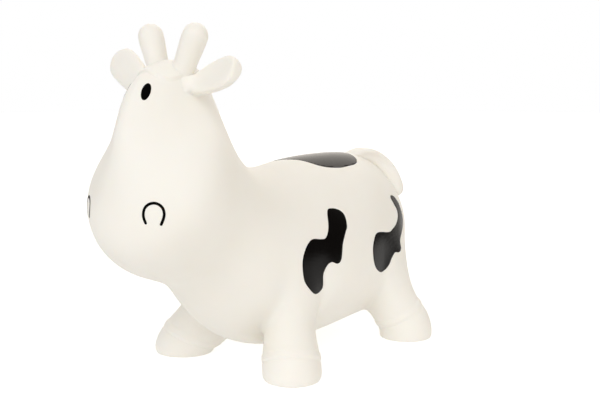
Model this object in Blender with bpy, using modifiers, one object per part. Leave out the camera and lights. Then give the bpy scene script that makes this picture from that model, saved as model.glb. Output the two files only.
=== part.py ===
"""Bouncy ride-on cow: a hollow inflated skin with four stub legs, horns, ears, a tail, an air valve and painted patches.

The cow faces -Y, its left side is +X and its soles stand on z = 0. Lengths are in metres.
"""
import math

import bmesh
import bpy
from mathutils import Matrix, Vector

# Inflated skin
wheelbase = 0.274
track = 0.204
rump_reach = 0.230
muzzle_reach = 0.358
belly_height = 0.026
back_height = 0.281
crown_height = 0.420
rump_width = 0.156
trunk_width = 0.220
throat_width = 0.160
muzzle_width = 0.206
brow_width = 0.070
skin_wall = 0.0031

# Legs, which splay outwards to a flat sole
front_leg_slope = 0.70
rear_leg_slope = 0.60
leg_width = 0.062
hoof_width = 0.081
foot_width = 0.080
sole_width = 0.073
coronet_height = 0.060
hoof_height = 0.030
sole_rounding = 0.006

# Horns
horn_width = 0.0275
horn_length = 0.053
horn_sunk = 0.020
horn_spacing = 0.050
horn_lean = math.radians(25)
horn_sweep = math.radians(5)
horn_place = -0.249
horn_base_height = 0.413

# Ears
ear_span = 0.186
ear_width = 0.0385
ear_thickness = 0.0135
ear_place = -0.248
ear_end_height = 0.409
ear_rise = math.radians(21)
ear_sweep = math.radians(16)
ear_face_up = math.radians(17)

# Tail
tail_width = 0.0205
tail_seat = 0.0015

# Air valve in the belly
valve_place = 0.030
valve_bore = 0.0086
valve_neck_width = 0.0130
valve_flange_width = 0.0220
valve_flange = 0.0018
valve_collar_width = 0.0170
valve_collar = 0.0014
plug_stem_width = 0.0066
plug_bead = 0.0020
plug_stem_length = 0.0090
plug_head_width = 0.0150
plug_head = 0.0018
plug_waist_width = 0.0040
plug_grip_width = 0.0070
plug_grip = 0.0040
plug_rounding = 0.0006

# Paint
paint_thickness = 0.0004
back_patch_width = 0.056
back_patch_length = 0.148
back_patch_aside = 0.0155
back_patch_place = 0.030
flank_patch_length = 0.104
flank_patch_height = 0.108
flank_patch_place = -0.062
flank_patch_middle = 0.160
rump_patch_length = 0.136
rump_patch_height = 0.101
rump_patch_place = 0.032
rump_patch_middle = 0.158
rump_patch_turn = math.radians(40)
eye_spacing = 0.0345
eye_middle = 0.381
eye_width = 0.0110
eye_height = 0.0230
eye_slant = math.radians(16)
nostril_spacing = 0.1205
nostril_middle = 0.241
nostril_width = 0.0250
nostril_height = 0.0240
nostril_stroke = 0.0033

# Play between pieces that touch, and overrun of cutting tools
gap = 0.0003
overrun = 0.010

# Facets
skin_steps = 2
cavity_steps = 1
limb_steps = 1
horn_steps = 16
horn_tip_steps = 5
round_steps = 20

rump = rump_width / 2
flank = trunk_width / 2
throat = throat_width / 2
cheek = muzzle_width / 2
brow = brow_width / 2

# Angles of a section's points, from the back over the left flank to the belly
section_angles = [math.radians(a) for a in (0, 42, 83, 121, 163, 180)]
columns = len(section_angles)
leg_column = 2
rear_leg_row = 3
front_leg_row = 7

# Sections from rump to crown. Places along the body are 1 at the muzzle and -1 at the rump's end, heights are
# 0 at the belly, 1 at the back and 2 at the crown, and lean is how much wider the belly's or face's side is.
rump_end_shares = (-1.0, 0.56)
crown_shares = (0.745, 2.0)
body_sections = [
    # back, its height, belly or face, its height, half-width, lean
    (-0.95, 0.73, -0.97, 0.34, 0.57 * rump, -0.1),
    (-0.82, 0.88, -0.82, 0.14, 0.80 * rump, 0.0),
    (-0.58, 0.98, -0.57, 0.05, 0.98 * rump, 0.1),
    (-0.34, 1.01, -0.35, 0.02, 0.89 * flank, 0.25),
    (0.00, 1.01, 0.00, 0.00, 1.00 * flank, 0.3),
    (0.13, 0.99, 0.23, 0.00, 1.00 * flank, 0.3),
    (0.22, 0.965, 0.36, 0.03, 0.955 * flank, 0.25),
    (0.31, 0.97, 0.49, 0.12, 0.88 * flank, 0.15),
    (0.385, 1.01, 0.61, 0.27, 0.79 * flank, 0.05),
    (0.43, 1.12, 0.70, 0.42, 1.00 * throat, 0.1),
    (0.475, 1.28, 0.84, 0.48, 0.90 * cheek, 0.2),
    (0.505, 1.44, 0.965, 0.61, 1.00 * cheek, 0.3),
    (0.525, 1.58, 1.01, 0.84, 0.90 * cheek, 0.3),
    (0.54, 1.72, 0.955, 1.12, 0.56 * cheek, 0.1),
    (0.555, 1.84, 0.93, 1.42, 1.08 * brow, -0.1),
    (0.595, 1.95, 0.90, 1.78, 0.95 * brow, -0.1),
]

# Rings of a leg from the coronet to the sole: height, radius, share of the leg's slope, and rise towards the outside
leg_rings = [
    (coronet_height, leg_width / 2, 1.0, 0.75),
    (hoof_height, hoof_width / 2, 0.5, 0.40),
    (sole_rounding, foot_width / 2, 0.1, 0.05),
    (0, sole_width / 2, 0.0, 0.0),
]

# Radius and height of a horn's profile below its round tip
horn_profile_shares = [(0.97, 0.4), (0.92, 0.0)]

# Stations of an ear: along it from its buried root to the centre of its round end, beyond that, width, thickness
ear_length = 0.46 * ear_span
ear_angles = [math.radians(a) for a in (0, 55, 90, 125, 180, 235, 270, 305)]
ear_station_shares = [
    (0.00, 0.00, 0.00, 0.00),
    (0.04, 0.00, 0.88, 1.00),
    (0.22, 0.00, 0.90, 1.00),
    (0.55, 0.00, 0.98, 1.00),
    (0.84, 0.00, 1.03, 1.00),
    (1.00, 0.10, 1.00, 1.00),
    (1.00, 0.75, 0.68, 0.85),
    (1.00, 1.00, 0.00, 0.00),
]

# Stations of the tail: degrees above level seen from the middle of the rump, height over its seat, width, aside
rump_middle_shares = (-0.55, 0.55)
tail_angles = [math.radians(a) for a in range(0, 360, 45)]
tail_station_shares = [
    (99, -1.30, 0.0, 0.0),
    (97, -1.10, 0.8, 0.0),
    (87, -0.10, 1.0, 0.0),
    (76, 0.75, 1.0, 0.0),
    (64, 1.00, 1.0, 0.0),
    (52, 1.00, 1.02, 0.05),
    (41, 1.00, 1.10, 0.25),
    (31, 1.00, 1.20, 0.45),
    (24, 1.00, 0.95, 0.45),
    (22, 1.00, 0.0, 0.45),
]

# Outlines of the patches, each within -1 and 1
back_patch_shares = [
    (-0.99, -1.00), (-0.40, -0.84), (0.01, -0.68), (0.35, -0.56), (0.70, -0.41), (0.92, -0.17),
    (0.99, 0.17), (0.92, 0.45), (0.80, 0.73), (0.56, 0.91), (0.19, 1.00), (-0.31, 0.99),
    (-0.77, 0.86), (-0.95, 0.61), (-0.91, 0.20), (-0.84, -0.20), (-0.87, -0.61),
]
flank_patch_shares = [
    (0.62, 0.99), (0.88, 0.92), (1.01, 0.77), (0.95, 0.51), (0.83, 0.39), (0.58, 0.11), (0.42, -0.25),
    (0.27, -0.34), (0.08, -0.28), (-0.08, -0.36), (-0.20, -0.57), (-0.20, -0.93), (-0.54, -1.00),
    (-0.86, -0.73), (-0.96, -0.49), (-0.96, -0.13), (-0.83, 0.13), (-0.62, 0.31), (-0.43, 0.36),
    (-0.15, 0.32), (0.02, 0.34), (0.20, 0.54), (0.40, 0.94),
]
rump_patch_shares = [
    (0.76, 0.99), (0.62, 0.99), (0.66, 0.77), (0.73, 0.55), (0.61, 0.36), (0.36, 0.22), (0.07, 0.14),
    (-0.16, 0.10), (-0.59, 0.20), (-0.78, 0.16), (-0.94, -0.06), (-1.00, -0.26), (-0.99, -0.54),
    (-0.87, -0.79), (-0.65, -0.96), (-0.51, -0.94), (-0.42, -0.83), (-0.31, -0.65), (-0.14, -0.52),
    (0.05, -0.56), (0.22, -0.48), (0.35, -0.23), (1.00, 0.17), (1.07, 0.61), (0.95, 0.96),
]
nostril_shares = [
    (-0.78, -0.97), (-0.97, -0.45), (-1.00, 0.00), (-0.87, 0.50), (-0.50, 0.87), (0.00, 1.00),
    (0.50, 0.87), (0.87, 0.50), (1.00, 0.00), (0.93, -0.50), (0.70, -1.07),
]


def clear_scene():
    for item in list(bpy.data.objects):
        bpy.data.objects.remove(item)


def collection(name):
    group = bpy.data.collections.new(name)
    bpy.context.scene.collection.children.link(group)
    return group


def material(name, colour, roughness):
    finish = bpy.data.materials.new(name)
    finish.use_nodes = True
    shader = finish.node_tree.nodes["Principled BSDF"]
    shader.inputs["Base Color"].default_value = (*colour, 1)
    shader.inputs["Roughness"].default_value = roughness
    shader.inputs["Metallic"].default_value = 0
    finish.diffuse_color = (*colour, 1)
    return finish


def add_object(name, mesh, group, finish=None):
    """A piece with its finish, or a cutter when it has none."""
    item = bpy.data.objects.new(name, mesh)
    group.objects.link(item)
    item.parent = cow
    if finish:
        mesh.materials.append(finish)
    else:
        item.hide_render = True
        item.display_type = "WIRE"
    return item


def mesh_from(cage, name):
    mesh = bpy.data.meshes.new(name)
    cage.to_mesh(mesh)
    cage.free()
    mesh.shade_smooth()
    return mesh


def surface(item):
    """The finished surface of an object, for finding places on it."""
    bpy.context.view_layer.update()
    return item.evaluated_get(bpy.context.evaluated_depsgraph_get())


def land(form, start, aim):
    """Where a line first meets a form, and the form's outward direction there."""
    _, place, normal, _ = form.ray_cast(start, aim)
    return place, normal


def around(radius):
    """Eight points round a level circle."""
    return [Matrix.Rotation(turn * math.pi / 4, 3, "Z") @ Vector((radius, 0, 0)) for turn in range(8)]


def boolean(item, tool, operation):
    step = item.modifiers.new(f"{operation.lower()}_{tool.name}", "BOOLEAN")
    step.operation = operation
    step.solver = "EXACT"
    step.object = tool


def subdivide(item, level):
    step = item.modifiers.new("soft_form", "SUBSURF")
    step.levels = step.render_levels = level


def settled_share(angle):
    """How much of a cage ring's radius is left once its corners, this far apart, are subdivided away."""
    return (2 + math.cos(angle)) / 3


def sheet(rows):
    """A grid of quads whose vertices lie on the given rows of points."""
    cage = bmesh.new()
    width = len(rows[0])
    grid = bmesh.ops.create_grid(cage, x_segments=width - 1, y_segments=len(rows) - 1, size=1)
    for i, vert in enumerate(grid["verts"]):
        vert.co = rows[i // width][i % width]
    return cage


def close_cage(cage):
    bmesh.ops.remove_doubles(cage, verts=cage.verts, dist=0.1 * gap)
    bmesh.ops.recalc_face_normals(cage, faces=cage.faces)


def body_place(along, up):
    """A point of the middle plane from its share along the body and its share of height."""
    reach = muzzle_reach if along > 0 else rump_reach
    low, high = (belly_height, back_height) if up < 1 else (back_height, crown_height)
    return Vector((0, -along * reach, low + (up - (up >= 1)) * (high - low)))


def body_section(back_along, back_up, belly_along, belly_up, half_width, lean):
    back = body_place(back_along, back_up)
    belly = body_place(belly_along, belly_up)
    middle = (back + belly) / 2
    grow = 1 / settled_share(math.pi / (columns - 1))
    points = []
    for angle in section_angles:
        down = (1 - math.cos(angle)) / 2
        point = middle + (back.lerp(belly, down) - middle) * grow
        point.x = half_width * grow * math.sin(angle) * (1 + lean * (2 * down - 1))
        points.append(point)
    return points


def pull_leg(cage, grid, row, side, slope):
    """Draw a leg out of the two-by-two block of faces round a section, ring by ring, down to its flat sole."""
    spots = [(a, b) for a in range(3) for b in range(3)]
    block = {(a, b): grid[(row + a - 1) * columns + leg_column + b] for a, b in spots}
    faces = [face for face in cage.faces if all(vert in block.values() for vert in face.verts)]
    outward = Vector((1, side, 0)).normalized()
    for up, radius, share, tilt in leg_rings:
        places = {spot: vert.co.copy() for spot, vert in block.items()}
        made = bmesh.ops.extrude_face_region(cage, geom=faces)["geom"]
        bmesh.ops.delete(cage, geom=faces, context="FACES")
        faces = [item for item in made if isinstance(item, bmesh.types.BMFace)]
        verts = [item for item in made if isinstance(item, bmesh.types.BMVert)]
        block = {spot: min(verts, key=lambda v: (v.co - place).length) for spot, place in places.items()}
        centre = Vector((track / 2, side * wheelbase / 2, up)) - outward * slope * share * up
        for (a, b), vert in block.items():
            aim = Vector((1 - b, 1 - a, 0)).normalized()
            aim.z = aim.dot(outward) * tilt
            vert.co = centre + aim * radius / settled_share(math.pi / 4)
    crease = cage.edges.layers.float.get("crease_edge") or cage.edges.layers.float.new("crease_edge")
    sole = set(block.values()) - {block[1, 1]}
    for edge in cage.edges:
        if sole.issuperset(edge.verts):
            edge[crease] = 1


def body_cage():
    """The left half of the body: a loft from rump to crown with two legs pulled out of it."""
    rows = [[body_place(*rump_end_shares)] * columns]
    rows += [body_section(*section) for section in body_sections]
    rows += [[body_place(*crown_shares)] * columns]
    cage = sheet(rows)
    grid = list(cage.verts)
    pull_leg(cage, grid, rear_leg_row, 1, rear_leg_slope)
    pull_leg(cage, grid, front_leg_row, -1, front_leg_slope)
    close_cage(cage)
    return mesh_from(cage, "body_cage")


def body_form(name, level, group, finish=None):
    """The whole body at one level of subdivision."""
    item = add_object(name, half_body.copy(), group, finish)
    halves = item.modifiers.new("both_sides", "MIRROR")
    halves.merge_threshold = 0.1 * gap
    halves.use_clip = True
    subdivide(item, level)
    facets = item.modifiers.new("facets", "TRIANGULATE")
    facets.quad_method = "FIXED"
    return item


def grown_body(name, level, offset):
    """A cutter that follows the body's surface at an offset from it."""
    item = body_form(name, level, tools)
    follow = item.modifiers.new("offset", "SHRINKWRAP")
    follow.target = body
    follow.wrap_method = "NEAREST_SURFACEPOINT"
    follow.wrap_mode = "ABOVE_SURFACE"
    follow.offset = offset
    return item


def limb(name, stations, angles, group, finish):
    """A soft limb through stations, each a centre with its half-width and half-thickness as vectors."""
    wide, thick = settled_share(angles[1]), settled_share(angles[2] - angles[1])
    rows = []
    for centre, across, through in stations:
        ring = [centre + across * math.cos(a) / wide + through * math.sin(a) / thick for a in angles]
        rows.append(ring + ring[:1])
    cage = sheet(rows)
    close_cage(cage)
    item = add_object(name, mesh_from(cage, name), group, finish)
    subdivide(item, limb_steps)
    return item


def turned(name, profile, steps, group, finish, closed=False):
    """A profile of (radius, height) points, listed from top to bottom on the outside, turned about Z."""
    outline = bmesh.new()
    verts = [outline.verts.new((radius, 0, up)) for radius, up in profile]
    pairs = list(zip(verts, verts[1:])) + ([(verts[-1], verts[0])] if closed else [])
    for pair in pairs:
        outline.edges.new(pair)
    item = add_object(name, mesh_from(outline, name), group, finish)
    screw = item.modifiers.new("turned", "SCREW")
    screw.axis = "Z"
    screw.steps = screw.render_steps = steps
    screw.use_merge_vertices = True
    screw.merge_threshold = 0.1 * gap
    return item


def paint(name, outline, size, depth, place, out, up):
    """A thin coat: an outline within -1 and 1, carried on to the body along a direction and trimmed to its skin."""
    flat = bpy.data.curves.new(name, "CURVE")
    flat.dimensions = "2D"
    flat.fill_mode = "BOTH"
    flat.extrude = depth / 2
    spline = flat.splines.new("POLY")
    spline.points.add(len(outline) - 1)
    for point, (x, y) in zip(spline.points, outline):
        point.co = (x * size[0] / 2, y * size[1] / 2, 0, 1)
    spline.use_cyclic_u = True
    guide = bpy.data.objects.new(name, flat)
    parts.objects.link(guide)
    block = bmesh.new()
    block.from_mesh(surface(guide).to_mesh())
    bpy.data.objects.remove(guide)
    close_cage(block)
    across = up.cross(out).normalized()
    item = add_object(name, mesh_from(block, name), parts, ink)
    item.matrix_local = Matrix.Translation(place) @ Matrix((across, out.cross(across), out)).transposed().to_4x4()
    boolean(item, paint_top, "INTERSECT")
    boolean(item, clear_body, "DIFFERENCE")
    return item


def rounded(corners, steps):
    """A closed smooth curve through corners."""
    count = len(corners)
    points = []
    for i in range(count):
        before, start, end, after = (Vector(corners[(i + k - 1) % count]) for k in range(4))
        for t in (step / steps for step in range(steps)):
            bend = 2 * before - 5 * start + 4 * end - after
            points.append((2 * start + (end - before) * t + bend * t ** 2
                           + (3 * start - before - 3 * end + after) * t ** 3) / 2)
    return points


def stroke(line, width):
    """The outline of a painted line with pointed-round ends."""
    line = [Vector(point) for point in line]
    left, right = [], []
    for before, point, after in zip(line[:1] + line, line, line[1:] + line[-1:]):
        along = (after - before).normalized()
        aside = Vector((-along.y, along.x)) * width / 2
        left.append(point + aside)
        right.append(point - aside)
    start = line[0] + (line[0] - line[1]).normalized() * width / 2
    end = line[-1] + (line[-1] - line[-2]).normalized() * width / 2
    return [start] + left + [end] + right[::-1]


clear_scene()
parts = collection("bouncy_cow")
tools = collection("bouncy_cow_cutters")
cow = bpy.data.objects.new("cow", None)
parts.objects.link(cow)

vinyl = material("soft_vinyl", (0.86, 0.83, 0.76), 0.45)
ink = material("black_paint", (0.012, 0.011, 0.010), 0.40)
valve_vinyl = material("valve_vinyl", (0.80, 0.79, 0.76), 0.50)

# Body
half_body = body_cage()
body = body_form("body", skin_steps, tools)
clear_body = grown_body("body_clear", skin_steps, gap)
paint_top = grown_body("body_paint_top", skin_steps, gap + paint_thickness)
cavity = grown_body("body_cavity", cavity_steps, -skin_wall)
skin = body_form("inflated_skin", skin_steps, parts, vinyl)
boolean(skin, cavity, "DIFFERENCE")
outside = surface(body)
inside = surface(cavity)

# Horns
for side, name in ((1, "horn_left"), (-1, "horn_right")):
    radius = horn_width / 2
    profile = []
    for angle in (math.pi / 2 * step / horn_tip_steps for step in range(horn_tip_steps)):
        profile.append((radius * math.sin(angle), horn_length - radius * (1 - math.cos(angle))))
    profile.append((radius, horn_length - radius))
    profile += [(share * radius, up * horn_length) for share, up in horn_profile_shares]
    profile += [(profile[-1][0], -horn_sunk), (0, -horn_sunk)]
    horn = turned(name, profile, horn_steps, parts, vinyl)
    horn.location = (side * horn_spacing / 2, horn_place, horn_base_height)
    horn.rotation_euler = (-horn_sweep, side * horn_lean, 0)
    boolean(horn, clear_body, "DIFFERENCE")

# Ears
for side, name in ((1, "ear_left"), (-1, "ear_right")):
    flat = math.cos(ear_rise)
    aim = Vector((side * flat * math.cos(ear_sweep), flat * math.sin(ear_sweep), math.sin(ear_rise)))
    face = Vector((0, -math.cos(ear_face_up), math.sin(ear_face_up)))
    face = (face - aim * face.dot(aim)).normalized()
    across = aim.cross(face) * side
    end = Vector((side * ear_span / 2, ear_place, ear_end_height))
    stations = []
    for along, beyond, wide, thick in ear_station_shares:
        centre = end + aim * ((along - 1) * ear_length + beyond * ear_width / 2)
        stations.append((centre, across * wide * ear_width / 2, face * thick * ear_thickness / 2))
    ear = limb(name, stations, ear_angles, parts, vinyl)
    boolean(ear, clear_body, "DIFFERENCE")

# Tail, lying on the rump
rump_middle = body_place(*rump_middle_shares)
path = []
for degrees, lift, wide, aside in tail_station_shares:
    out = Vector((0, math.cos(math.radians(degrees)), math.sin(math.radians(degrees))))
    place, normal = land(outside, rump_middle + out + Vector((aside * tail_width, 0, 0)), -out)
    path.append((place + normal * lift * (tail_width / 2 - tail_seat), wide * tail_width / 2))
stations = []
for (before, _), (centre, radius), (after, _) in zip(path[:1] + path, path, path[1:] + path[-1:]):
    sideways = Vector((1, 0, 0))
    upright = (after - before).normalized().cross(sideways)
    stations.append((centre, sideways * radius, upright * radius))
tail = limb("tail", stations, tail_angles, parts, vinyl)
boolean(tail, clear_body, "DIFFERENCE")

# Air valve: a turned seat through the belly
upward = Vector((0, 0, 1))
middle = Vector((0, valve_place, (belly_height + back_height) / 2))
valve_spot = Vector((0, valve_place, 0))
valve_spot.z = min(land(outside, valve_spot + spot, upward)[0].z for spot in around(valve_flange_width / 2))
wall_top = max(land(inside, middle + spot, -upward)[0].z for spot in around(valve_collar_width / 2))
collar_bottom = wall_top - valve_spot.z + gap
seat_top = collar_bottom + valve_collar
seat_bottom = -gap - valve_flange
seat_profile = [
    (valve_collar_width / 2, seat_top),
    (valve_collar_width / 2, collar_bottom),
    (valve_neck_width / 2, collar_bottom),
    (valve_neck_width / 2, -gap),
    (valve_flange_width / 2, -gap),
    (valve_flange_width / 2, seat_bottom + plug_rounding),
    (valve_flange_width / 2 - plug_rounding, seat_bottom),
    (valve_bore / 2, seat_bottom),
    (valve_bore / 2, seat_top),
]
valve_seat = turned("valve_seat", seat_profile, round_steps, parts, valve_vinyl, closed=True)
valve_seat.location = valve_spot
drill = bmesh.new()
hole_radius = valve_neck_width / 2 + gap
bmesh.ops.create_cone(drill, cap_ends=True, segments=round_steps, radius1=hole_radius, radius2=hole_radius,
                      depth=2 * overrun)
hole = add_object("valve_hole", mesh_from(drill, "valve_hole"), tools)
hole.location = valve_spot
boolean(skin, hole, "DIFFERENCE")

# Plug, which is pulled downwards out of the seat
bead = valve_bore / 2 - gap
plug_profile = [
    (0, plug_stem_length),
    (bead - plug_rounding, plug_stem_length),
    (bead, plug_stem_length - plug_bead / 2),
    (plug_stem_width / 2, plug_stem_length - plug_bead),
    (plug_stem_width / 2, 0),
    (plug_head_width / 2 - plug_rounding, 0),
    (plug_head_width / 2, -plug_rounding),
    (plug_head_width / 2 - plug_rounding, -plug_head),
    (plug_waist_width / 2, -plug_head),
    (plug_waist_width / 2, -plug_head - plug_grip / 2),
    (plug_grip_width / 2, -plug_head - plug_grip / 2),
    (plug_grip_width / 2, -plug_head - plug_grip),
    (0, -plug_head - plug_grip),
]
valve_plug = turned("valve_plug", plug_profile, round_steps, parts, valve_vinyl)
valve_plug.location = valve_spot + Vector((0, 0, seat_bottom - gap))

# Paint
paint("patch_back", rounded(back_patch_shares, 2), (back_patch_width, back_patch_length), flank,
      Vector((back_patch_aside, back_patch_place, back_height)), upward, Vector((0, 1, 0)))
for side, name in ((1, "left"), (-1, "right")):
    paint(f"patch_flank_{name}", rounded(flank_patch_shares, 2), (side * flank_patch_length, flank_patch_height),
          flank, Vector((side * flank, flank_patch_place, flank_patch_middle)), Vector((side, 0, 0)), upward)
    out = Vector((side * math.cos(rump_patch_turn), math.sin(rump_patch_turn), 0))
    along = upward.cross(out) * side
    paint(f"patch_rump_{name}", rounded(rump_patch_shares, 2), (side * rump_patch_length, rump_patch_height),
          flank, along * rump_patch_place + out * flank + upward * rump_patch_middle, out, upward)
    place, out = land(outside, Vector((side * eye_spacing / 2, -2 * muzzle_reach, eye_middle)), Vector((0, 1, 0)))
    oval = [(math.cos(a), math.sin(a)) for a in (2 * math.pi * k / round_steps for k in range(round_steps))]
    slanted = Matrix.Rotation(-side * eye_slant, 3, out) @ upward
    paint(f"eye_{name}", oval, (eye_width, eye_height), eye_height, place, out, slanted)
    place, out = land(outside, Vector((side * nostril_spacing / 2, -2 * muzzle_reach, nostril_middle)),
                      Vector((0, 1, 0)))
    line = [(side * u * nostril_width / 2, v * nostril_height / 2) for u, v in nostril_shares]
    paint(f"nostril_{name}", stroke(line, nostril_stroke), (2, 2), nostril_height, place, out, upward)

# The origin is under the middle of the whole length
reach = [vert.co.y for item in (skin, tail) for vert in surface(item).data.vertices]
cow.location.y = -(min(reach) + max(reach)) / 2
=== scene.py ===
import math

import bmesh
import bpy
from mathutils import Matrix, Vector
from mathutils.bvhtree import BVHTree


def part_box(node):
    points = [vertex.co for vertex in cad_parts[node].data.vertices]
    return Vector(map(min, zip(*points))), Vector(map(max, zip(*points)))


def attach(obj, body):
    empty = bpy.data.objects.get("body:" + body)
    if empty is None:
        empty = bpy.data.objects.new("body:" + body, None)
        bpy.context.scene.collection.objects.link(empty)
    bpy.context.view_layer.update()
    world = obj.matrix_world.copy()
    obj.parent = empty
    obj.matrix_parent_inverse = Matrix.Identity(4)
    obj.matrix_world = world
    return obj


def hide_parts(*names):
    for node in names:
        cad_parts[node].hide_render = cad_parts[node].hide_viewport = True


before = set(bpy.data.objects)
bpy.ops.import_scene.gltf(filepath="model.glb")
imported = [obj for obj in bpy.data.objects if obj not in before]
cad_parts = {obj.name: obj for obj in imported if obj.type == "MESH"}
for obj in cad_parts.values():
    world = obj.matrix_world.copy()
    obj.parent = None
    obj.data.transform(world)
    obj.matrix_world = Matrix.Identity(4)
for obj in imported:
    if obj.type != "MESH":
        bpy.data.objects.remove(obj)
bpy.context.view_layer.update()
mm = 0.001
up = Vector((0, 0, 1))


# Studio: the toy stands on a white floor in wide soft light, seen a little from above
studio = {
    "feetMiddle": 0.0642,           # how far back the middle between the feet lies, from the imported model
    "eye": (0.962, -1.149, 0.430),  # camera place, measured from the middle between the feet
    "turn": (81.8, 0.0, 39.9),
    "lens": 62.4, "sensor": 36,
    "key": {"strength": 1.42, "turn": (50, 0, 12), "tint": "F9FBFF", "angle": 55},
    "fill": {"strength": 0.76, "turn": (70, 0, 92), "tint": "FFFAF2", "angle": 90},
    # the sky that lights the toy, brighter away from the side that the camera stands on
    "near": (0.42, -0.86, 0.30), "skyEdge": (-1.0, 0.1), "skyLevels": (1.05, 0.435),
    "warmEdge": (-0.4, 0.8), "skyTints": ("FFF8EF", "FFFDFB"),
    # as shiny surfaces see it: a bright panel far away, a dark flag elsewhere
    "panelAway": (0.50, -0.62, -0.60), "panelEdge": (-1.0, -0.5), "panelLevels": (1.9, 0.05),
    "floorRadius": 6, "floorGlow": (0.40, 0.68),  # glow for what lies round it, and for the camera
}
home = Vector((0, studio["feetMiddle"], 0))


def toLinear(code):
    """Linear colour of an sRGB code"""
    parts = [int(code[i:i + 2], 16) / 255 for i in (0, 2, 4)]
    return [p / 12.92 if p <= 0.04045 else ((p + 0.055) / 1.055) ** 2.4 for p in parts] + [1.0]


def addNode(tree, kind, settings=None, links=None):
    node = tree.nodes.new(kind)
    for key, value in (settings or {}).items():
        if isinstance(key, str) and hasattr(node, key):
            setattr(node, key, value)
        else:
            node.inputs[key].default_value = value
    for key, socket in (links or {}).items():
        tree.links.new(socket, node.inputs[key])
    return node


def newMaterial(name, base, roughness, ior):
    finish = bpy.data.materials.new(name)
    finish.use_nodes = True
    shader = finish.node_tree.nodes["Principled BSDF"]
    shader.inputs["Base Color"].default_value = toLinear(base)
    shader.inputs["Roughness"].default_value = roughness
    shader.inputs["IOR"].default_value = ior
    finish.diffuse_color = toLinear(base)
    return finish, finish.node_tree, shader


# Rotomoulded plasticised PVC: satin and slightly waxy, with a faint orange peel from the mould,
# creamy where it gathers light
def mouldedPvc():
    finish, tree, shader = newMaterial("mouldedSoftPvc", "F6F3EB", 0.46, 1.52)
    shader.inputs["Subsurface Weight"].default_value = 0.15
    shader.inputs["Subsurface Radius"].default_value = (1.0, 0.75, 0.5)
    shader.inputs["Subsurface Scale"].default_value = 4 * mm
    place = addNode(tree, "ShaderNodeTexCoord").outputs["Object"]
    cloud = addNode(tree, "ShaderNodeTexNoise", {"Scale": 1 / (70 * mm), "Detail": 2.0}, {"Vector": place})
    tones = {"data_type": "RGBA", 6: toLinear("F8F5EE"), 7: toLinear("F4F0E6")}
    tone = addNode(tree, "ShaderNodeMix", tones, {0: cloud.outputs["Fac"]})
    tree.links.new(tone.outputs[2], shader.inputs["Base Color"])
    rub = addNode(tree, "ShaderNodeTexNoise", {"Scale": 1 / (18 * mm), "Detail": 4.0}, {"Vector": place})
    satin = addNode(tree, "ShaderNodeMapRange", {"To Min": 0.40, "To Max": 0.52}, {"Value": rub.outputs["Fac"]})
    tree.links.new(satin.outputs["Result"], shader.inputs["Roughness"])
    peel = addNode(tree, "ShaderNodeTexNoise", {"Scale": 1 / (2.2 * mm), "Detail": 2.0}, {"Vector": place})
    bump = addNode(tree, "ShaderNodeBump", {"Strength": 0.10, "Distance": 0.12 * mm},
                   {"Height": peel.outputs["Fac"]})
    tree.links.new(bump.outputs["Normal"], shader.inputs["Normal"])
    return finish


# Sprayed black vinyl paint: a thin satin coat with a faint spray grain
def sprayedPaint(name, base, roughness, gloss):
    finish, tree, shader = newMaterial(name, base, roughness, 1.50)
    shader.inputs["Specular IOR Level"].default_value = gloss
    place = addNode(tree, "ShaderNodeTexCoord").outputs["Object"]
    rub = addNode(tree, "ShaderNodeTexNoise", {"Scale": 1 / (12 * mm), "Detail": 5.0}, {"Vector": place})
    satin = addNode(tree, "ShaderNodeMapRange", {"To Min": roughness - 0.05, "To Max": roughness + 0.06},
                    {"Value": rub.outputs["Fac"]})
    tree.links.new(satin.outputs["Result"], shader.inputs["Roughness"])
    grain = addNode(tree, "ShaderNodeTexNoise", {"Scale": 1 / (1.5 * mm), "Detail": 2.0}, {"Vector": place})
    bump = addNode(tree, "ShaderNodeBump", {"Strength": 0.12, "Distance": 0.10 * mm},
                   {"Height": grain.outputs["Fac"]})
    tree.links.new(bump.outputs["Normal"], shader.inputs["Normal"])
    return finish


# Clear-white vinyl of the valve: harder and glossier than the skin, and light passes into its thin flange
def valvePvc():
    finish, tree, shader = newMaterial("valveVinyl", "EDEBE4", 0.30, 1.53)
    shader.inputs["Subsurface Weight"].default_value = 0.3
    shader.inputs["Subsurface Radius"].default_value = (1.0, 0.9, 0.8)
    shader.inputs["Subsurface Scale"].default_value = 3 * mm
    place = addNode(tree, "ShaderNodeTexCoord").outputs["Object"]
    scuff = addNode(tree, "ShaderNodeTexNoise", {"Scale": 1 / (3 * mm), "Detail": 4.0}, {"Vector": place})
    gloss = addNode(tree, "ShaderNodeMapRange", {"To Min": 0.24, "To Max": 0.40}, {"Value": scuff.outputs["Fac"]})
    tree.links.new(gloss.outputs["Result"], shader.inputs["Roughness"])
    return finish


def setCamera():
    camera = bpy.data.objects.new("camera", bpy.data.cameras.new("camera"))
    camera.location = Vector(studio["eye"]) + home
    camera.rotation_euler = [math.radians(a) for a in studio["turn"]]
    camera.data.lens = studio["lens"]
    camera.data.sensor_width = studio["sensor"]
    bpy.context.scene.collection.objects.link(camera)
    bpy.context.scene.camera = camera


def setLamps():
    for name in ("key", "fill"):
        light = studio[name]
        lamp = bpy.data.lights.new(name, "SUN")
        lamp.energy = light["strength"]
        lamp.color = toLinear(light["tint"])[:3]
        lamp.angle = math.radians(light["angle"])
        item = bpy.data.objects.new(name, lamp)
        item.visible_glossy = False
        item.rotation_euler = [math.radians(a) for a in light["turn"]]
        bpy.context.scene.collection.objects.link(item)


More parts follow.
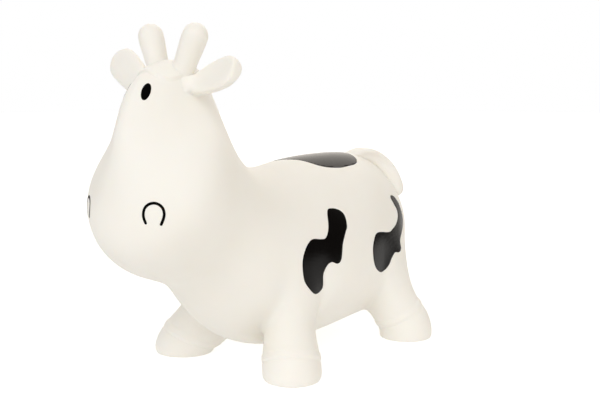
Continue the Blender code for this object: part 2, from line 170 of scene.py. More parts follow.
def setSky():
    world = bpy.data.worlds.new("softBox")
    bpy.context.scene.world = world
    world.use_nodes = True
    tree = world.node_tree
    back = tree.nodes["Background"]
    aim = addNode(tree, "ShaderNodeTexCoord").outputs["Generated"]

    def facing(direction):
        dot = {"operation": "DOT_PRODUCT", 1: Vector(direction).normalized()}
        return addNode(tree, "ShaderNodeVectorMath", dot, {0: aim}).outputs["Value"]

    def fade(value, edge, levels=(0.0, 1.0), kind="LINEAR"):
        limits = {"interpolation_type": kind, "From Min": edge[0], "From Max": edge[1], "To Min": levels[0],
                  "To Max": levels[1]}
        return addNode(tree, "ShaderNodeMapRange", limits, {"Value": value}).outputs["Result"]

    towards = facing(studio["near"])
    sky = fade(towards, studio["skyEdge"], studio["skyLevels"], "SMOOTHSTEP")
    panel = fade(facing(studio["panelAway"]), studio["panelEdge"], studio["panelLevels"], "SMOOTHSTEP")
    ray = addNode(tree, "ShaderNodeLightPath").outputs
    level = addNode(tree, "ShaderNodeMix", links={0: ray["Is Glossy Ray"], 2: sky, 3: panel})
    tree.links.new(level.outputs[0], back.inputs["Strength"])
    warm, cool = studio["skyTints"]
    tint = addNode(tree, "ShaderNodeMix", {"data_type": "RGBA", 6: toLinear(warm), 7: toLinear(cool)},
                   {0: fade(towards, studio["warmEdge"])})
    tree.links.new(tint.outputs[2], back.inputs["Color"])
    white = addNode(tree, "ShaderNodeBackground", {"Color": toLinear("FFFFFF"), "Strength": 1.0})
    both = addNode(tree, "ShaderNodeMixShader", links={0: ray["Is Camera Ray"], 1: back.outputs[0],
                                                       2: white.outputs[0]})
    tree.links.new(both.outputs[0], tree.nodes["World Output"].inputs["Surface"])


def setFloor():
    sheet = bmesh.new()
    bmesh.ops.create_circle(sheet, cap_ends=True, segments=96, radius=studio["floorRadius"])
    floor = newObject("floor", sheet)
    finish, tree, shader = newMaterial("whiteSweep", "C4C4C4", 0.7, 1.45)
    place = addNode(tree, "ShaderNodeTexCoord").outputs["Object"]
    grain = addNode(tree, "ShaderNodeTexNoise", {"Scale": 1 / (40 * mm)}, {"Vector": place})
    matt = addNode(tree, "ShaderNodeMapRange", {"To Min": 0.65, "To Max": 0.75}, {"Value": grain.outputs["Fac"]})
    tree.links.new(matt.outputs["Result"], shader.inputs["Roughness"])
    shader.inputs["Emission Color"].default_value = toLinear("FFFDFA")
    seen = addNode(tree, "ShaderNodeLightPath").outputs["Is Camera Ray"]
    forToy, forCamera = studio["floorGlow"]
    lit = addNode(tree, "ShaderNodeMapRange", {"To Min": forToy, "To Max": forCamera}, {"Value": seen})
    tree.links.new(lit.outputs["Result"], shader.inputs["Emission Strength"])
    floor.data.materials.append(finish)
    print("studio set")


def newObject(name, form, levels=0):
    mesh = bpy.data.meshes.new(name)
    form.to_mesh(mesh)
    form.free()
    mesh.shade_smooth()
    item = bpy.data.objects.new(name, mesh)
    bpy.context.scene.collection.objects.link(item)
    if levels:
        soft = item.modifiers.new("soft", "SUBSURF")
        soft.levels = soft.render_levels = levels
    return item


def settle(item):
    """Keep the surface that the modifiers give"""
    bpy.context.view_layer.update()
    mesh = bpy.data.meshes.new_from_object(item.evaluated_get(bpy.context.evaluated_depsgraph_get()))
    item.modifiers.clear()
    item.data = mesh
    mesh.shade_smooth()
    return item


def dress(item, finish, slot, body, *nodes):
    item.data.materials.clear()
    item.data.materials.append(finish)
    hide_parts(*nodes)
    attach(item, body)


def around(count):
    return [2 * math.pi * i / count for i in range(count)]


def loft(rings):
    """A tube drawn ring by ring from a circle, closed at its far end"""
    form = bmesh.new()
    ring = bmesh.ops.create_circle(form, segments=len(rings[0]), radius=1)["verts"]
    for vert, place in zip(ring, rings[0]):
        vert.co = place
    for places in rings[1:]:
        edges = [e for e in form.edges if e.verts[0] in ring and e.verts[1] in ring]
        made = bmesh.ops.extrude_edge_only(form, edges=edges)["geom"]
        fresh = [v for v in made if isinstance(v, bmesh.types.BMVert)]
        following = []
        for vert in ring:
            following.append(next(v for v in fresh if (v.co - vert.co).length < 1e-9
                                  and any(e.other_vert(v) is vert for e in v.link_edges)))
        ring = following
        for vert, place in zip(ring, places):
            vert.co = place
    bmesh.ops.contextual_create(form, geom=ring)
    bmesh.ops.recalc_face_normals(form, faces=form.faces)
    return form


# Skin: a loft from rump to crown, with the legs drawn out of it
skin = {
    "rumpReach": 230 * mm, "muzzleReach": 358 * mm,
    "belly": 26 * mm, "back": 281 * mm, "crown": 420 * mm,
    "rump": 78 * mm, "flank": 110 * mm, "throat": 80 * mm, "cheek": 103 * mm, "brow": 35 * mm,
    "sectionTurns": (0, 42, 83, 121, 163, 180),
    "ends": ((-1.0, 0.56), (0.745, 2.0)),
    "sections": [  # back, its height, belly or face, its height, half-width, lean
        (-0.94, 0.72, -0.96, 0.34, 0.51, "rump", 0.0),
        (-0.82, 0.87, -0.82, 0.14, 0.735, "rump", 0.1),
        (-0.58, 0.98, -0.57, 0.05, 0.96, "rump", 0.12),
        (-0.34, 1.01, -0.35, 0.02, 0.89, "flank", 0.25),
        (0.00, 1.01, 0.00, 0.00, 1.00, "flank", 0.3),
        (0.13, 0.99, 0.23, 0.00, 1.00, "flank", 0.3),
        (0.22, 0.965, 0.36, 0.03, 0.955, "flank", 0.25),
        (0.31, 0.97, 0.49, 0.12, 0.88, "flank", 0.15),
        (0.385, 1.01, 0.61, 0.27, 0.79, "flank", 0.05),
        (0.43, 1.12, 0.69, 0.44, 1.00, "throat", 0.1),
        (0.475, 1.28, 0.845, 0.492, 0.90, "cheek", 0.2),
        (0.505, 1.44, 0.97, 0.625, 0.99, "cheek", 0.3),
        (0.525, 1.58, 0.999, 0.84, 0.868, "cheek", 0.3),
        (0.54, 1.72, 0.943, 1.12, 0.57, "cheek", 0.1),
        (0.555, 1.84, 0.935, 1.42, 1.14, "brow", -0.1),
        (0.595, 1.95, 0.88, 1.78, 0.91, "brow", -0.1),
    ],
    "legRows": ((3, 1, "rearRings"), (7, -1, "frontRings")), "legColumn": 2,
    "wheelbase": 274 * mm, "track": 204 * mm,
    # height, half-width across and along the splay, how far inwards, rise towards the outside
    "frontRings": (
        (62 * mm, 31 * mm, 31 * mm, 49 * mm, 0.75), (31 * mm, 38.5 * mm, 42.5 * mm, 18.5 * mm, 0.40),
        (13 * mm, 39.8 * mm, 43.5 * mm, 2 * mm, 0.12), (3.5 * mm, 39.5 * mm, 42.5 * mm, 0.5 * mm, 0.02),
        (0, 37 * mm, 40 * mm, 0.5 * mm, 0.0)),
    "rearRings": (
        (60 * mm, 31 * mm, 31 * mm, 33 * mm, 0.50), (30 * mm, 38 * mm, 38.5 * mm, 10 * mm, 0.28),
        (13 * mm, 39 * mm, 39.5 * mm, 4.5 * mm, 0.08), (3 * mm, 39 * mm, 39.5 * mm, 4.5 * mm, 0.02),
        (0, 37.5 * mm, 38 * mm, 4.5 * mm, 0.0)),
    # hoof bands: rear (1) or front (-1), lower edge, upper edge, slope of the leg
    "bands": ((1, 37 * mm, 45 * mm, 0.52), (-1, 24 * mm, 33 * mm, 0.45)),
    "bandProud": 1.0 * mm, "bandSoft": 1.6 * mm, "bandGroove": 0.6 * mm, "hoofReach": 47 * mm, "cutReach": 60 * mm,
    # in steps of bandSoft from the lower edge, highCuts from the upper one
    "grooveSteps": (-2.6, -1.6, -0.6), "lowCuts": (-2.6, -2.1, -1.6, -1.1, -0.6, 0.2, 1),
    "highCuts": (-1, -0.3, 0.3, 1),
    # tuft between the horns
    "pollMiddle": -259 * mm, "pollWide": 31.5 * mm, "pollLong": 33 * mm, "pollProud": 2.8 * mm, "pollSquare": 2.8,
    "pollEdge": (0.90, 1.0), "pollCuts": (0.84, 1.08), "headFrom": 380 * mm,
    "boreRadius": 7.5 * mm, "boreBelow": 60 * mm, "boreDepth": 2.8 * mm,
}


def bodyPlace(along, high):
    reach = skin["muzzleReach"] if along > 0 else skin["rumpReach"]
    low, top = (skin["belly"], skin["back"]) if high < 1 else (skin["back"], skin["crown"])
    return home + Vector((0, -along * reach, low + (high - (high >= 1)) * (top - low)))


def bodySection(backAlong, backHigh, lowAlong, lowHigh, share, part, lean):
    back, low = bodyPlace(backAlong, backHigh), bodyPlace(lowAlong, lowHigh)
    middle = (back + low) / 2
    grow = 3 / (2 + math.cos(math.pi / 5))  # subdividing draws a ring in by this much
    ring = []
    for turn in skin["sectionTurns"]:
        down = (1 - math.cos(math.radians(turn))) / 2
        place = middle + (back.lerp(low, down) - middle) * grow
        place.x = share * skin[part] * grow * math.sin(math.radians(turn)) * (1 + lean * (2 * down - 1))
        ring.append(place)
    return ring


def drawLeg(form, grid, row, side, rings):
    columns = len(skin["sectionTurns"])
    block = {(a, b): grid[(row + a - 1) * columns + skin["legColumn"] + b] for a in range(3) for b in range(3)}
    faces = [f for f in form.faces if all(v in block.values() for v in f.verts)]
    outward = Vector((1, side, 0)).normalized()
    for high, wide, long, inwards, rise in skin[rings]:
        places = {spot: vert.co.copy() for spot, vert in block.items()}
        made = bmesh.ops.extrude_face_region(form, geom=faces)["geom"]
        bmesh.ops.delete(form, geom=faces, context="FACES")
        faces = [f for f in made if isinstance(f, bmesh.types.BMFace)]
        verts = [v for v in made if isinstance(v, bmesh.types.BMVert)]
        block = {spot: min(verts, key=lambda v: (v.co - place).length) for spot, place in places.items()}
        centre = home + Vector((skin["track"] / 2, side * skin["wheelbase"] / 2, high))
        centre -= outward * inwards
        for (a, b), vert in block.items():
            aim = Vector((1 - b, 1 - a, 0)).normalized()
            out = outward * aim.dot(outward)
            reach = (aim - out) * wide + (out + up * aim.dot(outward) * rise) * long
            vert.co = centre + reach * 3 / (2 + math.cos(math.pi / 4))
    crease = form.edges.layers.float.get("crease_edge") or form.edges.layers.float.new("crease_edge")
    sole = set(block.values()) - {block[1, 1]}
    for edge in form.edges:
        if sole.issuperset(edge.verts):
            edge[crease] = 0.8


def legFrames():
    """Sole centre and upward axis of each leg, with the edges of its hoof band"""
    for x in (1, -1):
        for y, low, high, slope in skin["bands"]:
            sole = home + Vector((x * skin["track"] / 2, y * skin["wheelbase"] / 2, 0))
            axis = up - Vector((x, y, 0)).normalized() * slope
            yield sole, axis.normalized(), low, high


def ramp(value, low, high):
    share = min(max((value - low) / (high - low), 0), 1)
    return share * share * (3 - 2 * share)


def raiseBands(form):
    soft = skin["bandSoft"]
    for sole, axis, low, high in legFrames():
        cuts = [low + step * soft for step in skin["lowCuts"]] + [high + step * soft for step in skin["highCuts"]]
        for along in cuts:
            near = [f for f in form.faces
                    if (f.calc_center_median() - sole - axis * along).length < skin["cutReach"]]
            verts = dict.fromkeys(v for f in near for v in f.verts)
            edges = dict.fromkeys(e for f in near for e in f.edges)
            bmesh.ops.bisect_plane(form, geom=[*verts, *edges, *near], dist=1e-6, plane_co=sole + axis * along,
                                   plane_no=axis)
        form.normal_update()
        start, bottom, end = (low + step * soft for step in skin["grooveSteps"])
        moves = []
        for vert in form.verts:
            along = (vert.co - sole).dot(axis)
            if (vert.co - sole - axis * along).length > skin["hoofReach"] or not 0 < along < high + soft:
                continue
            raised = ramp(along, end, low + soft) - ramp(along, high - soft, high + soft)
            sunk = ramp(along, start, bottom) - ramp(along, bottom, end)
            moves.append((vert, vert.normal * (raised * skin["bandProud"] - sunk * skin["bandGroove"])))
        for vert, move in moves:
            vert.co += move


def fromPoll(place):
    x = place.x / skin["pollWide"]
    y = (place.y - home.y - skin["pollMiddle"]) / skin["pollLong"]
    square = skin["pollSquare"]
    return (abs(x) ** square + abs(y) ** square) ** (1 / square)


def raisePoll(form):
    inner, outer = skin["pollCuts"]
    shoulder = [e for e in form.edges
                if all(v.co.z > skin["headFrom"] and inner < fromPoll(v.co) < outer for v in e.verts)]
    bmesh.ops.subdivide_edges(form, edges=shoulder, cuts=2, use_grid_fill=True, smooth=1.0)
    form.normal_update()
    moves = [(v, v.normal * skin["pollProud"] * (1 - ramp(fromPoll(v.co), *skin["pollEdge"])))
             for v in form.verts if v.co.z > skin["headFrom"]]
    for vert, move in moves:
        vert.co += move


def openBore(form):
    """Room for the valve through the belly"""
    middle = sum(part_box("valve_seat"), Vector()) / 2
    hole = [f for f in form.faces if (f.calc_center_median() - middle).to_2d().length < skin["boreRadius"]
            and f.calc_center_median().z < skin["boreBelow"]]
    bmesh.ops.delete(form, geom=hole, context="FACES")
    rim = [e for e in form.edges if e.is_boundary]
    made = bmesh.ops.extrude_edge_only(form, edges=rim)["geom"]
    for vert in (v for v in made if isinstance(v, bmesh.types.BMVert)):
        vert.co.z += skin["boreDepth"]


def makeSkin():
    columns = len(skin["sectionTurns"])
    rows = [[bodyPlace(*skin["ends"][0])] * columns]
    rows += [bodySection(*section) for section in skin["sections"]]
    rows += [[bodyPlace(*skin["ends"][1])] * columns]
    form = bmesh.new()
    grid = bmesh.ops.create_grid(form, x_segments=columns - 1, y_segments=len(rows) - 1, size=1)["verts"]
    for i, vert in enumerate(grid):
        vert.co = rows[i // columns][i % columns]
    grid = list(form.verts)
    for row, side, rings in skin["legRows"]:
        drawLeg(form, grid, row, side, rings)
    bmesh.ops.remove_doubles(form, verts=form.verts, dist=0.03 * mm)
    bmesh.ops.recalc_face_normals(form, faces=form.faces)
    item = newObject("softSkin", form)
    both = item.modifiers.new("both", "MIRROR")
    both.merge_threshold = 0.03 * mm
    both.use_clip = True
    soft = item.modifiers.new("soft", "SUBSURF")
    soft.levels = soft.render_levels = 4
    settle(item)

    form = bmesh.new()
    form.from_mesh(item.data)
    raiseBands(form)
    raisePoll(form)
    openBore(form)
    bmesh.ops.recalc_face_normals(form, faces=form.faces)
    form.to_mesh(item.data)
    form.free()
    item.data.shade_smooth()
    dress(item, pvc, "soft_vinyl", "cow", "inflated_skin")
    print("skin", len(item.data.polygons), "faces")
    return item


def surfaceOf(item):
    return BVHTree.FromPolygons([v.co for v in item.data.vertices], [p.vertices[:] for p in item.data.polygons])


def landing(start, aim):
    """Where a ray meets the skin"""
    place, normal, _, _ = skinTree.ray_cast(start, aim)
    if place is None:
        place, normal, _, _ = skinTree.find_nearest(start)
    return place, normal


castFrom = 60 * mm  # the roots of horns and ears are sought on the skin from this far out


# Horns: round-ended rods, a little thicker towards the tip
horn = {
    "width": 33.3 * mm, "length": 54 * mm, "spacing": 50 * mm, "lean": 23.5, "sweep": 5,
    "place": -249 * mm, "baseHeight": 413 * mm, "fillet": 2.2 * mm,
    "profile": ((0.06, 0.87), (0.20, 0.90), (0.45, 0.97), (0.66, 1.0)),  # shares of the length, of the radius
    "capTurns": (15, 35, 55, 72, 84),
}


def makeHorn(side, name):
    turn = Matrix.Rotation(side * math.radians(horn["lean"]), 3, "Y")
    turn = turn @ Matrix.Rotation(-math.radians(horn["sweep"]), 3, "X")
    axis, radius, fillet = turn @ up, horn["width"] / 2, horn["fillet"]
    base = home + Vector((side * horn["spacing"] / 2, horn["place"], horn["baseHeight"]))
    spokes = [turn @ Vector((math.cos(a), math.sin(a), 0)) for a in around(24)]
    root = horn["profile"][0][1] * radius
    rings = []
    for wider, lift in ((fillet, -0.5 * mm), (0.6 * fillet, 0), (0.15 * fillet, 0.5 * fillet), (0, 1.6 * fillet)):
        rings.append([landing(base + s * (root + wider) + axis * castFrom, -axis)[0] + axis * lift
                      for s in spokes])
    for along, share in horn["profile"][1:]:
        rings.append([base + s * share * radius + axis * along * horn["length"] for s in spokes])
    for turnUp in horn["capTurns"]:
        a = math.radians(turnUp)
        rings.append([base + s * math.cos(a) * radius + axis * (horn["length"] - radius * (1 - math.sin(a)))
                      for s in spokes])
    item = settle(newObject(name, loft(rings), 2))
    dress(item, pvc, "soft_vinyl", "cow", name)


# Ears: thick flat lobes whose front runs on from the cheek, with a tight crease below
ear = {
    "span": 186 * mm, "length": 70 * mm, "width": 42 * mm, "thickness": 14 * mm, "place": -248 * mm, "faceUp": 27,
    "left": {"height": 404.5 * mm, "rise": 17, "sweep": -2, "waist": 0.62},
    "right": {"height": 413.5 * mm, "rise": 23, "sweep": 19, "waist": 0.86},
    "filletFront": 15 * mm, "filletTop": 5 * mm, "filletBack": 7 * mm, "filletBelow": 1.2 * mm,
    # how far out and up, in shares of the fillet
    "rootRings": ((1.0, -0.02), (0.80, 0.0), (0.57, 0.08), (0.33, 0.24), (0.13, 0.52), (0.0, 1.0)),
    "rootSunk": 0.3 * mm,
    "stations": (0.42, 0.60, 0.80, 1.0), "dish": 0.6 * mm, "dishFrom": (0.3, 0.8), "dishTo": (10, 60),
    "cap": ((20, 1.0), (40, 0.98), (58, 0.93), (74, 0.80), (84, 0.55)),  # degrees, thickness
    "square": 0.72, "backSquare": 0.85, "backBulge": 1.5, "fullWidth": 1.02, "fullFrom": 0.8,
}


def makeEar(side, name):
    hand = ear["left" if side > 0 else "right"]
    sweep, rise, faceUp = (math.radians(a) for a in (hand["sweep"], hand["rise"], ear["faceUp"]))
    aim = Vector((side * math.cos(rise) * math.cos(sweep), math.cos(rise) * math.sin(sweep), math.sin(rise)))
    face = Vector((0, -math.cos(faceUp), math.sin(faceUp)))
    face = (face - aim * face.dot(aim)).normalized()
    across = aim.cross(face) * side
    if across.z < 0:
        across = -across
    end = home + Vector((side * ear["span"] / 2, ear["place"], hand["height"]))
    halfWide, halfThick = ear["width"] / 2, ear["thickness"] / 2
    turns = around(24)

    def point(a, wide, thick, dish=0):
        c, s = math.cos(a), math.sin(a)
        x = math.copysign(abs(c) ** ear["square"], c)
        y = abs(s) ** ear["square"] if s > 0 else -ear["backBulge"] * abs(s) ** ear["backSquare"]
        return across * halfWide * wide * x + face * (halfThick * thick * y - (dish * (1 - x * x) if s > 0 else 0))

    def fillet(a):
        c, s = math.cos(a), math.sin(a)
        sideways = ear["filletFront"] if s > 0 else ear["filletBack"]
        upright = ear["filletTop"] if c > 0 else ear["filletBelow"]
        return sideways * s * s + upright * c * c

    root, waist = end - aim * ear["length"], hand["waist"]
    rings = []
    for wider, lift in ear["rootRings"]:
        ring = []
        for a in turns:
            offset = point(a, waist, 1.0)
            away = offset.normalized() * fillet(a)
            place, normal = landing(root + offset + away * wider + aim * castFrom, -aim)
            ring.append(place + aim * lift * fillet(a) - normal * (ear["rootSunk"] if lift < 0 else 0))
        rings.append(ring)
    for along in ear["stations"]:
        wide = waist + (ear["fullWidth"] - waist) * ramp(along, 0, ear["fullFrom"])
        dish = ear["dish"] * ramp(along, *ear["dishFrom"])
        rings.append([end + aim * (along - 1) * ear["length"] + point(a, wide, 1.0, dish) for a in turns])
    for turnUp, thick in ear["cap"]:
        b = math.radians(turnUp)
        dish = ear["dish"] * (1 - ramp(turnUp, *ear["dishTo"]))
        rings.append([end + aim * halfWide * math.sin(b) + point(a, math.cos(b), thick, dish) for a in turns])
    item = settle(newObject(name, loft(rings), 2))
    dress(item, pvc, "soft_vinyl", "cow", name)


# Tail: a soft rope of vinyl lying on the rump, its tip to the left
tail = {
    "width": 20.5 * mm, "seat": 1.5 * mm, "middle": (-0.55, 0.55),
    "stations": [  # degrees above level, lift, width, shift to the left, how far its foot spreads
        (101, -1.30, 0.30, 0.0, 0.0), (97, -0.95, 0.85, 0.0, 0.0), (87, -0.15, 1.05, 0.05, 0.6),
        (76, 0.98, 1.12, 0.16, 1.2), (64, 0.92, 1.20, 0.38, 1.2), (52, 0.76, 1.34, 0.66, 0.8),
        (41, 0.58, 1.44, 0.92, 0.2), (32, 0.34, 1.46, 1.10, 0.0), (27.5, 0.18, 1.34, 1.16, 0.0),
        (24, 0.02, 1.06, 1.18, 0.0), (22, -0.1, 0.6, 1.18, 0.0),
    ],
}


def makeTail():
    middle = bodyPlace(*tail["middle"])
    path = []
    for degrees, lift, wide, aside, foot in tail["stations"]:
        out = Vector((0, math.cos(math.radians(degrees)), math.sin(math.radians(degrees))))
        place, normal = landing(middle + out + Vector((aside * tail["width"], 0, 0)), -out)
        path.append((place + normal * lift * (tail["width"] / 2 - tail["seat"]), wide * tail["width"] / 2, foot))
    rings = []
    for before, (centre, radius, foot), after in zip(path[:1] + path, path, path[1:] + path[-1:]):
        sideways = Vector((1, 0, 0))
        upright = (after[0] - before[0]).normalized().cross(sideways)
        ring = []
        for a in around(24):
            c, s = math.cos(a), math.sin(a)
            x = c + math.copysign(foot, c) * max(0, -s) * abs(c) ** 0.5
            ring.append(centre + sideways * radius * x + upright * radius * s)
        rings.append(ring)
    item = settle(newObject("tail", loft(rings), 2))
    dress(item, pvc, "soft_vinyl", "cow", "tail")


# Paint: outlines carried on to the skin
paint = {
    "lift": 0.22 * mm, "thickness": 0.5 * mm, "knife": 3 * mm, "curveSteps": 8, "castFrom": 0.3, "front": -0.7,
    "back": {
        "wide": 56 * mm, "long": 148 * mm, "aside": 15.5 * mm, "place": 30 * mm,
        "outline": (
            (-0.99, -1.00), (-0.40, -0.84), (0.01, -0.68), (0.35, -0.56), (0.70, -0.41), (0.92, -0.17),
            (0.99, 0.17), (0.92, 0.45), (0.80, 0.73), (0.56, 0.91), (0.19, 1.00), (-0.31, 0.99),
            (-0.77, 0.86), (-0.95, 0.61), (-0.91, 0.20), (-0.84, -0.20), (-0.87, -0.61)),
    },
    "flank": {
        "wide": 104 * mm, "long": 108 * mm, "place": -62 * mm, "middle": 160 * mm,
        "outline": (
            (0.62, 0.99), (0.88, 0.92), (1.01, 0.77), (0.95, 0.51), (0.83, 0.39), (0.58, 0.11), (0.42, -0.25),
            (0.27, -0.34), (0.08, -0.28), (-0.08, -0.36), (-0.20, -0.57), (-0.20, -0.93), (-0.54, -1.00),
            (-0.86, -0.73), (-0.96, -0.49), (-0.96, -0.13), (-0.83, 0.13), (-0.62, 0.31), (-0.43, 0.36),
            (-0.15, 0.32), (0.02, 0.34), (0.20, 0.54), (0.40, 0.94)),
    },
    "rump": {
        "wide": 136 * mm, "long": 101 * mm, "place": 32 * mm, "middle": 158 * mm, "turn": 40,
        "outline": (
            (0.69, 1.03), (0.61, 0.95), (0.66, 0.77), (0.73, 0.55), (0.61, 0.36), (0.36, 0.22), (0.07, 0.14),
            (-0.16, 0.10), (-0.59, 0.20), (-0.78, 0.16), (-0.94, -0.06), (-1.00, -0.26), (-0.99, -0.54),
            (-0.87, -0.79), (-0.65, -0.96), (-0.51, -0.94), (-0.42, -0.83), (-0.31, -0.65), (-0.14, -0.52),
            (0.05, -0.56), (0.22, -0.48), (0.35, -0.23), (1.00, 0.17), (1.07, 0.61), (0.91, 0.93)),
    },
    "eye": {"spacing": 34.5 * mm, "middle": 381 * mm, "wide": 11 * mm, "long": 23 * mm, "slant": 16},
    "nostril": {
        "spacing": 120.5 * mm, "middle": 241 * mm, "wide": 25 * mm, "long": 24 * mm, "stroke": 3.3 * mm,
        "lineSteps": 5,
        "farIn": 2.5 * mm, "farDown": 2.5 * mm,  # the right one sits a little lower and nearer the middle
        "line": (
            (-0.78, -0.97), (-0.97, -0.45), (-1.00, 0.00), (-0.87, 0.50), (-0.50, 0.87), (0.00, 1.00),
            (0.50, 0.87), (0.87, 0.50), (1.00, 0.00), (0.93, -0.50), (0.70, -1.07)),
    },
}


def rounded(corners, steps, closed=True):
    """A smooth line through the corners"""
    count = len(corners)
    points = []
    for i in range(count if closed else count - 1):
        near = [i - 1, i, i + 1, i + 2]
        near = [n % count if closed else min(max(n, 0), count - 1) for n in near]
        before, start, end, after = (Vector(corners[n]) for n in near)
        for t in (step / steps for step in range(steps)):
            points.append((2 * start + (end - before) * t + (2 * before - 5 * start + 4 * end - after) * t ** 2
                           + (3 * start - before - 3 * end + after) * t ** 3) / 2)
    return points if closed else points + [Vector(corners[-1])]


def makeCoat(name, outline, wide, long, place, out, high, finish):
    """A painted shape: cut as a flat sheet, sliced finely and laid on the skin"""
    form = bmesh.new()
    verts = [form.verts.new((x * wide / 2, y * long / 2, 0)) for x, y in outline]
    edges = [form.edges.new(pair) for pair in zip(verts, verts[1:] + verts[:1])]
    bmesh.ops.triangle_fill(form, use_beauty=False, edges=edges)
    for axis, half in (((1, 0, 0), abs(wide) / 2), ((0, 1, 0), abs(long) / 2)):
        axis = Vector(axis)
        count = int(2 * half / paint["knife"])
        for i in range(-count // 2 - 1, count // 2 + 2):
            geom = list(form.verts) + list(form.edges) + list(form.faces)
            bmesh.ops.bisect_plane(form, geom=geom, dist=1e-7, plane_co=axis * i * paint["knife"], plane_no=axis)
    across = high.cross(out).normalized()
    high = out.cross(across)
    for vert in form.verts:
        start = place + across * vert.co.x + high * vert.co.y + out * paint["castFrom"]
        spot, normal = landing(start, -out)
        vert.co = spot + normal * paint["lift"]
    form.normal_update()
    if sum(f.normal.dot(out) for f in form.faces) < 0:
        bmesh.ops.reverse_faces(form, faces=form.faces)
    item = newObject(name, form)
    wall = item.modifiers.new("thickness", "SOLIDIFY")
    wall.thickness = paint["thickness"]
    wall.offset = -1
    settle(item)
    dress(item, finish, "black_paint", "cow", name)


def strokeOutline(line, width):
    left, right = [], []
    for before, point, after in zip(line[:1] + line, line, line[1:] + line[-1:]):
        along = (after - before).normalized()
        aside = Vector((-along.y, along.x)) * width / 2
        left.append(point + aside)
        right.append(point - aside)
    ends = []
    for tip, first in ((line[-1], left[-1]), (line[0], right[0])):
        spoke = first - tip
        ends.append([tip + Matrix.Rotation(-math.pi * i / 6, 2) @ spoke for i in range(1, 6)])
    return left + ends[0] + right[::-1] + ends[1]


def paintPatches():
    steps, ahead = paint["curveSteps"], Vector((0, 1, 0))
    patch = paint["back"]
    makeCoat("patch_back", rounded(patch["outline"], steps), patch["wide"], patch["long"],
             home + Vector((patch["aside"], patch["place"], skin["back"])), up, ahead, ink)
    for side, name in ((1, "left"), (-1, "right")):
        patch = paint["flank"]
        place = home + Vector((side * skin["flank"], patch["place"], patch["middle"]))
        makeCoat("patch_flank_" + name, rounded(patch["outline"], steps), side * patch["wide"], patch["long"],
                 place, Vector((side, 0, 0)), up, ink)
        patch = paint["rump"]
        turn = math.radians(patch["turn"])
        out = Vector((side * math.cos(turn), math.sin(turn), 0))
        place = home + up.cross(out) * side * patch["place"] + out * skin["flank"] + up * patch["middle"]
        makeCoat("patch_rump_" + name, rounded(patch["outline"], steps), side * patch["wide"], patch["long"],
                 place, out, up, ink)
        patch = paint["eye"]
        start = home + Vector((side * patch["spacing"] / 2, paint["front"], patch["middle"]))
        place, out = landing(start, ahead)
        oval = [(math.cos(a), math.sin(a)) for a in around(64)]
        makeCoat("eye_" + name, oval, patch["wide"], patch["long"], place, out,
                 Matrix.Rotation(-side * math.radians(patch["slant"]), 3, out) @ up, eyeInk)
        patch = paint["nostril"]
        far = (1 - side) / 2
        start = home + Vector((side * (patch["spacing"] / 2 - far * patch["farIn"]), paint["front"],
                               patch["middle"] - far * patch["farDown"]))
        place, out = landing(start, ahead)
        line = [(side * x * patch["wide"] / 2, y * patch["long"] / 2) for x, y in patch["line"]]
        line = rounded(line, patch["lineSteps"], False)
        makeCoat("nostril_" + name, strokeOutline(line, patch["stroke"]), 2, 2, place, out, up, eyeInk)
    print("paint laid on")


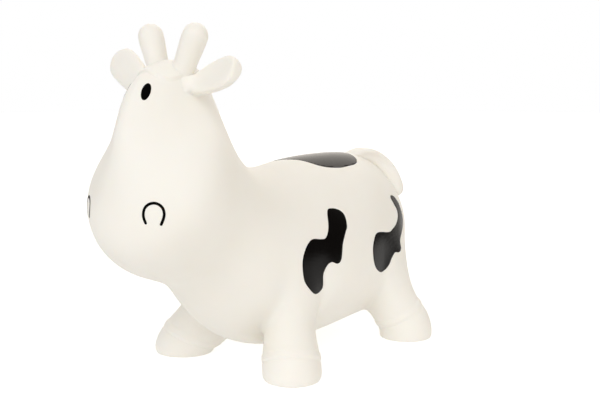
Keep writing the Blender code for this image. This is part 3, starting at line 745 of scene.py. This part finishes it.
# Air valve: a flanged seat and a push-in plug with a finger grip, turned from radii and levels in millimetres
valve = {
    "seat": ((8.5, 6.1), (8.2, 6.4), (4.5, 6.4), (4.3, 6.2), (4.3, -1.7), (4.6, -2.1), (9.9, -2.1), (10.7, -1.9),
             (11.0, -1.5), (11.0, -0.5), (10.8, -0.3), (6.5, -0.3), (6.5, 5.0), (8.3, 5.0), (8.5, 5.2)),
    "plug": ((0, 9.0), (3.2, 9.0), (4.0, 8.2), (3.95, 7.8), (3.3, 7.0), (3.3, 0.0), (6.9, 0.0), (7.4, -0.3),
             (7.4, -1.3), (6.9, -1.8), (2.2, -1.8), (2.0, -2.0), (2.0, -3.6), (2.2, -3.8), (3.2, -3.8), (3.5, -4.1),
             (3.5, -5.4), (3.2, -5.8), (0, -5.8)),
    "stretchAbove": 3, "sharp": 35,
}


def turnPiece(name, profile, origin, closed):
    form = bmesh.new()
    verts = [form.verts.new((radius * mm, 0, high * mm)) for radius, high in profile]
    pairs = list(zip(verts, verts[1:])) + ([(verts[-1], verts[0])] if closed else [])
    edges = [form.edges.new(pair) for pair in pairs]
    bmesh.ops.spin(form, geom=verts + edges, axis=(0, 0, 1), cent=(0, 0, 0), steps=64, angle=2 * math.pi,
                   use_merge=True)
    bmesh.ops.remove_doubles(form, verts=form.verts, dist=0.005 * mm)
    bmesh.ops.recalc_face_normals(form, faces=form.faces)
    bmesh.ops.translate(form, verts=form.verts, vec=origin)
    item = newObject(name, form)
    item.data.set_sharp_from_angle(angle=math.radians(valve["sharp"]))
    return item


def valveSpot(node, profile):
    """Where the profile's level 0 lies, and how much taller than the profile the node is"""
    low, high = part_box(node)
    levels = [level for radius, level in profile]
    spot = Vector(((low.x + high.x) / 2, (low.y + high.y) / 2, low.z - min(levels) * mm))
    return spot, (high.z - low.z) / mm - (max(levels) - min(levels))


def makeValve():
    spot, stretch = valveSpot("valve_seat", valve["seat"])
    seat = [(radius, level + (stretch if level > valve["stretchAbove"] else 0)) for radius, level in valve["seat"]]
    dress(turnPiece("valve_seat", seat, spot, True), clearPvc, "valve_vinyl", "cow", "valve_seat")
    spot, _ = valveSpot("valve_plug", valve["plug"])
    dress(turnPiece("valve_plug", valve["plug"], spot, False), clearPvc, "valve_vinyl", "plug", "valve_plug")
    print("valve turned")


bpy.context.scene.view_settings.view_transform = "Standard"
pvc = mouldedPvc()
ink = sprayedPaint("sprayedBlackPaint", "0A0807", 0.23, 0.20)
eyeInk = sprayedPaint("printedBlackEyes", "040404", 0.45, 0.08)
clearPvc = valvePvc()
setCamera()
setLamps()
setSky()
setFloor()
skinTree = surfaceOf(makeSkin())
for side, name in ((1, "left"), (-1, "right")):
    makeHorn(side, "horn_" + name)
    makeEar(side, "ear_" + name)
makeTail()
print("horns, ears and tail made")
paintPatches()
makeValve()
